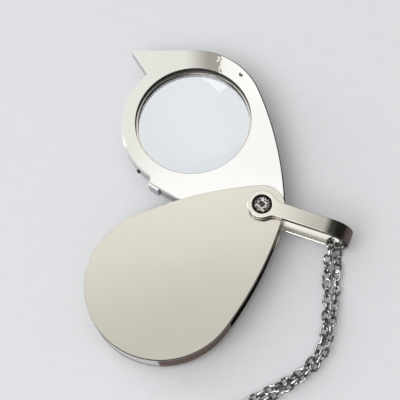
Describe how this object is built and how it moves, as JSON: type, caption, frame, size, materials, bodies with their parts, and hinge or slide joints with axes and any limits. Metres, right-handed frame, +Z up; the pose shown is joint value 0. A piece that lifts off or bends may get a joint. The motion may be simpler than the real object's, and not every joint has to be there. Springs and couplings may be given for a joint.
{
  "type": "hand lens",
  "caption": "Folding pocket magnifier: a thick lens frame swings out of a teardrop case, with a bail and a neck chain on its pivot.",
  "frame": {"origin": "on the pivot axis, at the table that the pivot's foot stands on", "axes": "+Z up through the pivot and square to the case; +X to the right and +Y away from the reader, with the case towards -X -Y and the open lens towards -X +Y"},
  "size_m": [0.0603, 0.12, 0.0102],
  "materials": {
    "polished_steel": "polished, with fine scratches",
    "satin_steel": "turned, satin",
    "washer_brass": "plain",
    "lens_glass": "clear, polished",
    "bumper_rubber": "matte",
    "chain_silver": "silver, lightly tarnished",
    "tie_plastic": "matte"
  },
  "bodies": {
    "case": {"case_back_plate": "polished_steel", "case_front_plate": "polished_steel", "case_rim_wall": "polished_steel", "rim_dowels": "polished_steel", "pivot_barrel": "satin_steel", "pivot_screw": "satin_steel", "slot_washers": "washer_brass", "bail_washers": "washer_brass", "chain_strand_left": "chain_silver", "chain_strand_right": "chain_silver", "chain_coil": "chain_silver", "chain_tie": "tie_plastic", "clasp_ring": "chain_silver", "clasp_body": "chain_silver", "clasp_pin": "satin_steel", "end_ring": "chain_silver"},
    "lens_arm": {"lens_frame": "polished_steel", "lens": "lens_glass", "lens_retaining_ring": "satin_steel", "closing_bumper": "bumper_rubber"},
    "bail": {"bail": "polished_steel", "chain_bail_loop": "chain_silver"},
    "clasp_lever": {"clasp_lever": "chain_silver"}
  },
  "joints": [
    {"name": "lens_swing", "type": "hinge", "parent": "case", "child": "lens_arm", "pos_m": [0, 0, 0.00565], "axis": [0, 0, 1], "range_deg": [-90, 90]},
    {"name": "bail_swing", "type": "hinge", "parent": "case", "child": "bail", "pos_m": [0, 0, 0.00565], "axis": [0, 0, 1], "range_deg": [-40, 3]},
    {"name": "clasp_opening", "type": "hinge", "parent": "case", "child": "clasp_lever", "pos_m": [-0.02108, -0.05177, 0.001], "axis": [0, 0, 1], "range_deg": [-18, 0], "stiffness_Nm_per_rad": 0.002, "springref_deg": 17.19}
  ]
}
